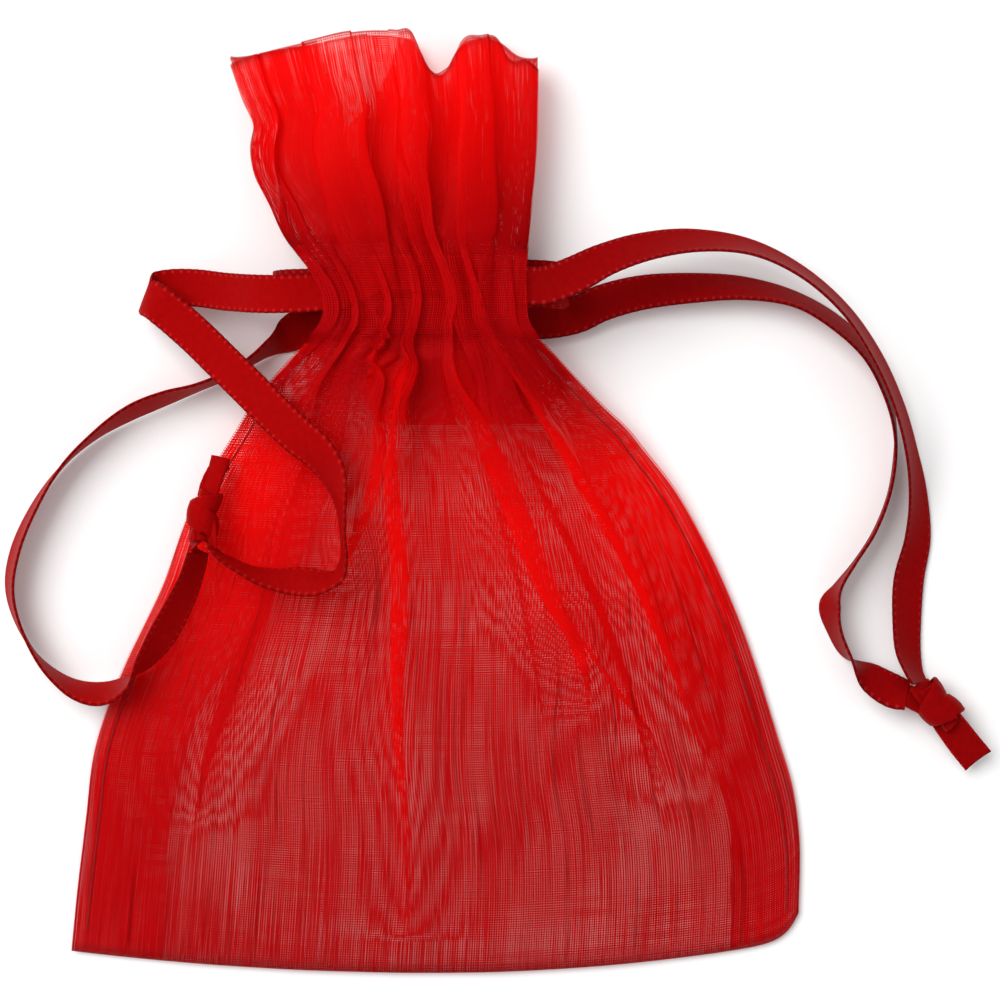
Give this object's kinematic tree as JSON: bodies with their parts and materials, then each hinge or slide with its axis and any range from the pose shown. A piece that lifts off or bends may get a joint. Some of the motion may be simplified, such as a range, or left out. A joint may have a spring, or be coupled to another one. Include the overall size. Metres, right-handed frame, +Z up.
{
  "type": "organza drawstring gift pouch",
  "caption": "Small sheer drawstring gift pouch, drawn shut and lying flat, with a gathered neck, an open frill and a knotted satin ribbon leaving each side.",
  "frame": {"origin": "middle of the cloth's underside, on the surface that the pouch lies on", "axes": "+Y from the bottom fold towards the gathered neck and the frill, +X to the right as seen from above, +Z up"},
  "size_m": [0.0951, 0.0912, 0.0116],
  "materials": {
    "organza": "sheer woven, slightly shiny",
    "satin_ribbon": "satin with a picot edge",
    "sewing_thread": "spun polyester, matte"
  },
  "bodies": {
    "pouch": {"pouch_cloth": "organza", "channel_thread_lower": "sewing_thread", "channel_thread_upper": "sewing_thread"},
    "left_drawstring": {"left_ribbon": "satin_ribbon", "left_ribbon_knot": "satin_ribbon"},
    "right_drawstring": {"right_ribbon": "satin_ribbon", "right_ribbon_knot": "satin_ribbon"}
  },
  "joints": [
    {"name": "left_ribbon_pull", "type": "slide", "parent": "pouch", "child": "left_drawstring", "axis": [-1, 0, 0], "range_m": [0, 0.0025]},
    {"name": "right_ribbon_pull", "type": "slide", "parent": "pouch", "child": "right_drawstring", "axis": [1, 0, 0], "range_m": [0, 0.0025]}
  ]
}
